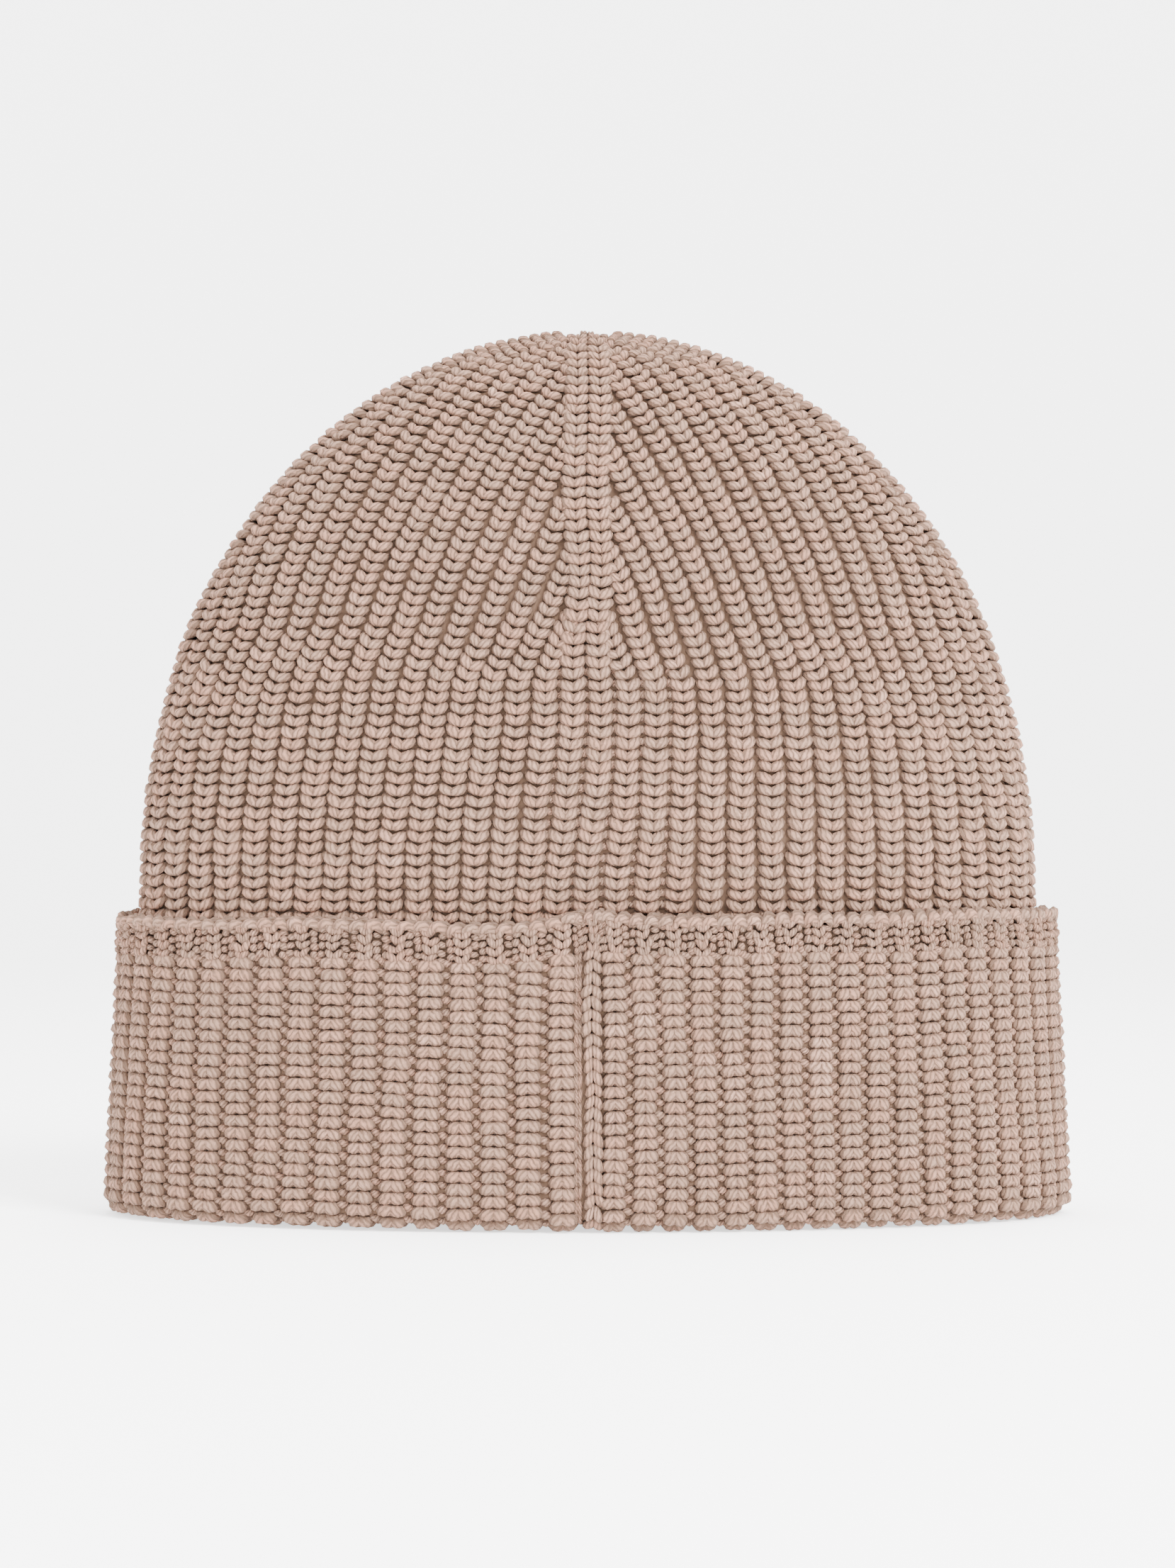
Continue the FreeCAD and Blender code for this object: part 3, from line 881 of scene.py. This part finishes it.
# The gathering: the last loops lie like petals, in two rings round the middle.
petals = Places()
APEX = np.array([0, 0, DOME_TOP - 2.6 * MM])
for ring, (count, reach, drop) in enumerate(((6, 1.9, 0.4), (12, 4.6, 1.3))):
    for number in range(count):
        angle = (number + 0.5 * ring) * 2 * math.pi / count
        way = np.array([math.cos(angle), math.sin(angle), 0])
        where = APEX + way * reach * MM * np.array([1.0, 0.75, 1]) - UP * drop * MM
        where[2] -= 1.9 * MM * (way[1] * reach / 6) ** 2
        out = unit(UP + way * np.array([0.1, 0.5, 0]) * ring)
        petals.add(where, out, way, (0.55, 1.1, 0.6))
gathering = knitted("crown_gathering", petals, "welt", seed=61, lean=0.1, spread=0.1)


# ---------------------------------------------------------------- ground fabric behind the stitches
AROUND = 208
GROUND_DEPTH = 2.6 * MM
GROUND_THICK = 0.6 * MM


def thickened(name, mesh, thickness):
    """A sheet with a thickness to both sides, as a plain mesh object."""
    host = scene_object(name + "_sheet", mesh)
    solid = host.modifiers.new("thickness", "SOLIDIFY")
    solid.thickness = thickness
    solid.offset = 0
    return plain_mesh(host, name)


def skin(name, rings, pole):
    """A closed sheet through rings of points that each run once round the hat; pole closes the last ring."""
    count = len(rings[0])
    vertices = [tuple(p) for ring in rings for p in ring]
    faces = []
    for i in range(len(rings) - 1):
        for j in range(count):
            k = (j + 1) % count
            faces.append((i * count + j, i * count + k, (i + 1) * count + k, (i + 1) * count + j))
    if pole is not None:
        vertices.append(tuple(pole))
        start = (len(rings) - 1) * count
        faces.extend((start + j, start + (j + 1) % count, len(vertices) - 1) for j in range(count))
    mesh = bpy.data.meshes.new(name)
    mesh.from_pydata(vertices, [], faces)
    # the ground sheet takes the painted-shade material
    mesh.materials.append(SHADED_GROUND)
    mesh.shade_smooth()
    piece = thickened(name, mesh, GROUND_THICK)
    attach(piece, "hat")
    return piece


def body_ground():
    """The fabric behind the body's and crown's stitches."""
    height, share = levels(4 * MM)
    quarter = np.linspace(-1, 1, AROUND // 2, endpoint=False) * BODY_OVAL.quarter
    rings = []
    for z, part in zip(height, share):
        back, _ = on_body(quarter * part, np.full(len(quarter), z), part, GROUND_DEPTH, False)
        front, _ = on_body(-quarter * part, np.full(len(quarter), z), part, GROUND_DEPTH, True)
        rings.append(np.vstack([back, front]))
    return skin("body_ground_fabric", rings, (0, 0, DOME_TOP - GROUND_DEPTH))


def cuff_ground():
    """The fabric behind the cuff's stitches, down its outside, round the fold and up its inside."""
    section = cuff_section(GROUND_DEPTH, CUFF_TOP - 2 * MM, CUFF_TOP, 3 * MM)
    columns = []
    for front in (False, True):
        for signed in np.linspace(-1, 1, AROUND // 2, endpoint=False) * CUFF_OVAL.quarter:
            signed = -signed if front else signed
            points, _ = on_cuff(signed, front, section)
            columns.append(points)
    return skin("cuff_ground_fabric", list(np.array(columns).transpose(1, 0, 2)), None)


body_sheet, cuff_sheet = body_ground(), cuff_ground()


# ---------------------------------------------------------------- the care label
def ribbon_material():
    """Woven polyester ribbon: fine warp and weft with a slight satin sheen."""
    material, shader = new_material(
        "woven satin ribbon", Roughness=0.5, Specular_IOR_Level=0.4, Sheen_Weight=0.2, IOR=1.5
    )
    tree = material.node_tree
    weave = maths(tree, "MULTIPLY", threads(tree, "Z", 0.4), threads(tree, "X", 0.4))
    tint = ramp(tree, weave, [(0.0, "DAD5CB"), (0.6, "F1EEE7")])
    surface(tree, shader, tint, weave, 0.3, 0.1 * MM)
    return material


def care_label():
    """A blank ribbon from its sewn end down, with a gentle curl towards its free edge."""
    low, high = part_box("care_label")[0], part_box("care_label_tab")[1]
    across, down = 14, 24
    vertices = []
    for i in range(down + 1):
        z = high[2] + (low[2] - high[2]) * i / down
        for j in range(across + 1):
            x = low[0] + (high[0] - low[0]) * j / across
            fall = max(0.0, i / down - 0.2)
            curl = 1.6 * MM * fall**2 + 0.35 * MM * fall * math.sin(x / (4 * MM))
            vertices.append((x, (low[1] + high[1]) / 2 + curl, z))
    row = across + 1
    faces = [
        (i * row + j, i * row + j + 1, (i + 1) * row + j + 1, (i + 1) * row + j)
        for i in range(down) for j in range(across)
    ]
    mesh = bpy.data.meshes.new("care_label_ribbon")
    mesh.from_pydata(vertices, [], faces)
    mesh.materials.append(ribbon_material())
    mesh.shade_smooth()
    return thickened("care_label_ribbon", mesh, 0.4 * MM)


label = care_label()
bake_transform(label)
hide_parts("care_label", "care_label_tab")


def thread_material():
    """Polyester sewing thread: two shiny plies twisted tightly."""
    material, shader = new_material(
        "polyester sewing thread", Roughness=0.45, Specular_IOR_Level=0.45, Sheen_Weight=0.1, IOR=1.55
    )
    tree = material.node_tree
    twist = threads(tree, "DIAGONAL", 0.5)
    tint = ramp(tree, twist, [(0.0, "A98F80"), (0.6, "D9C3B4")])
    surface(tree, shader, tint, twist, 0.4, 0.1 * MM)
    return material


for thread_slot in bpy.data.objects["care_label_stitches"].material_slots:
    thread_slot.material = thread_material()

# ---------------------------------------------------------------- camera, floor and light
MID_VIEW = 96.9 * MM
CAMERA_AWAY = 0.95
FRAME_TALL = 355 * MM  # what the frame's height covers at the hat's middle
camera = scene_object("camera", bpy.data.cameras.new("camera"))
camera.location = (0, -CAMERA_AWAY, MID_VIEW)
camera.rotation_euler = (math.pi / 2, 0, 0)
camera.data.sensor_width = 36
camera.data.lens = 36 * CAMERA_AWAY / FRAME_TALL
camera.data.clip_start = 0.01
bpy.context.scene.camera = camera

PAPER_GLOW = 1.4  # lit from behind, as a light table's paper
FLOOR_REACH = 1.5  # the floor is flat this far out
BEND = 0.9  # radius of the curve from the floor into the wall
WALL_TOP = 2.2
LIT_POINT = Vector((0, 0, 90 * MM))


def studio():
    """A round white studio: a flat floor that curves up into a wall all the way round."""
    profile = [(FLOOR_REACH, 0.0)]
    for angle in np.linspace(0.1, math.pi / 2, 14):
        profile.append((FLOOR_REACH + BEND * math.sin(angle), BEND - BEND * math.cos(angle)))
    profile.append((FLOOR_REACH + BEND, WALL_TOP))
    around = 72
    vertices = [(0, 0, 0)]
    for reach, z in profile:
        for j in range(around):
            angle = j * 2 * math.pi / around
            vertices.append((reach * math.cos(angle), reach * math.sin(angle), z))
    faces = [(0, 1 + j, 1 + (j + 1) % around) for j in range(around)]
    for i in range(len(profile) - 1):
        low, high = 1 + i * around, 1 + (i + 1) * around
        faces += [(low + j, high + j, high + (j + 1) % around, low + (j + 1) % around) for j in range(around)]
    mesh = bpy.data.meshes.new("studio_paper")
    mesh.from_pydata(vertices, [], faces)
    mesh.shade_smooth()
    paper, shader = new_material("white studio paper", Roughness=0.9, Specular_IOR_Level=0.1)
    shader.inputs["Base Color"].default_value = linear("F7F7F7")
    shader.inputs["Emission Color"].default_value = linear("FFFFFF")
    shader.inputs["Emission Strength"].default_value = PAPER_GLOW
    mesh.materials.append(paper)
    sweep = scene_object("studio_paper", mesh)


def lamp(name, place, size, watts):
    """A square white softbox, turned to the hat."""
    data = bpy.data.lights.new(name, "AREA")
    data.shape, data.size, data.energy = "SQUARE", size, watts
    made = scene_object(name, data)
    made.location = place
    made.rotation_euler = (LIT_POINT - Vector(place)).to_track_quat("-Z", "Y").to_euler()


studio()
lamp("key", (0.8, -1.0, 1.2), 0.6, 90)
lamp("top", (0, 0.1, 1.5), 1.0, 45)
world = bpy.data.worlds.new("studio")
world.use_nodes = True
world.node_tree.nodes["Background"].inputs["Color"].default_value = linear("FFFFFF")
world.node_tree.nodes["Background"].inputs["Strength"].default_value = 0.5
bpy.context.scene.world = world

# ---------------------------------------------------------------- what stands for what
# The single stitches were only the models for the knitted pieces.
for shape in shapes.values():
    bpy.data.objects.remove(shape)
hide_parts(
    "rib_body", "crown_gore_back_left", "crown_gore_back_right", "crown_gore_front_left",
    "crown_gore_front_right", "crown_spine_left", "crown_spine_right", "crown_spine_back",
    "crown_spine_front",
)
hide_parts("cuff_outer_band", "cuff_seam", "cuff_start_welt", "cuff_fold", "cuff_inner_band")
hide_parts("back_seam", "cuff_inner_seam")
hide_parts("crown_closure")
